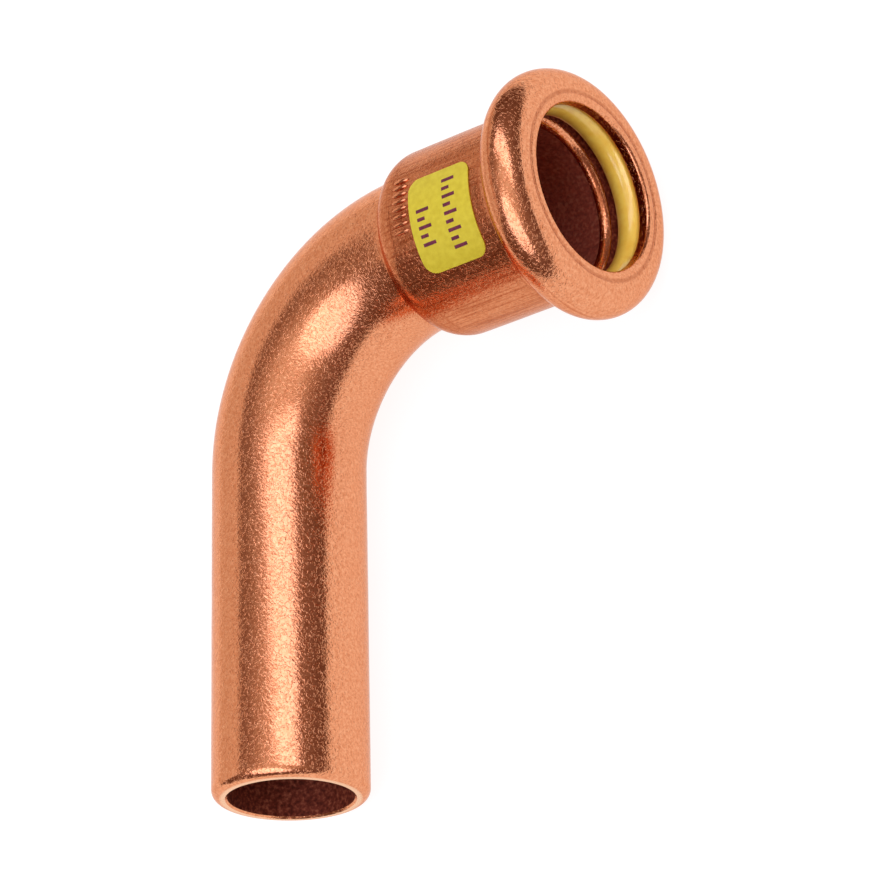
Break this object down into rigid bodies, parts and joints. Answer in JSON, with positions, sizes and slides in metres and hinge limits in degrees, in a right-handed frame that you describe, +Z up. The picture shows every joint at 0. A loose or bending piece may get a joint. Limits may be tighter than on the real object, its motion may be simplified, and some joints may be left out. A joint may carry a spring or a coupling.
{
  "type": "press fit pipe elbow",
  "caption": "Right-angle copper press elbow: a bent tube with a plain end, and a swaged socket whose bead holds a yellow seal ring, with a yellow marker label.",
  "frame": {"origin": "middle of the footprint of the elbow's box, on the surface that it lies on", "axes": "+Z up; the plain end points along -Y; the socket opens towards +X, tilted up about the leg as the elbow rests on its leg and its bead"},
  "size_m": [0.047, 0.0632, 0.0242],
  "materials": {
    "copper": "bright drawn copper with fine draw marks",
    "seal_rubber": "smooth moulded yellow nitrile rubber",
    "label_film": "satin yellow label film"
  },
  "bodies": {
    "root": {"elbow_body": "copper", "seal_ring": "seal_rubber", "marker_label": "label_film"}
  },
  "joints": []
}
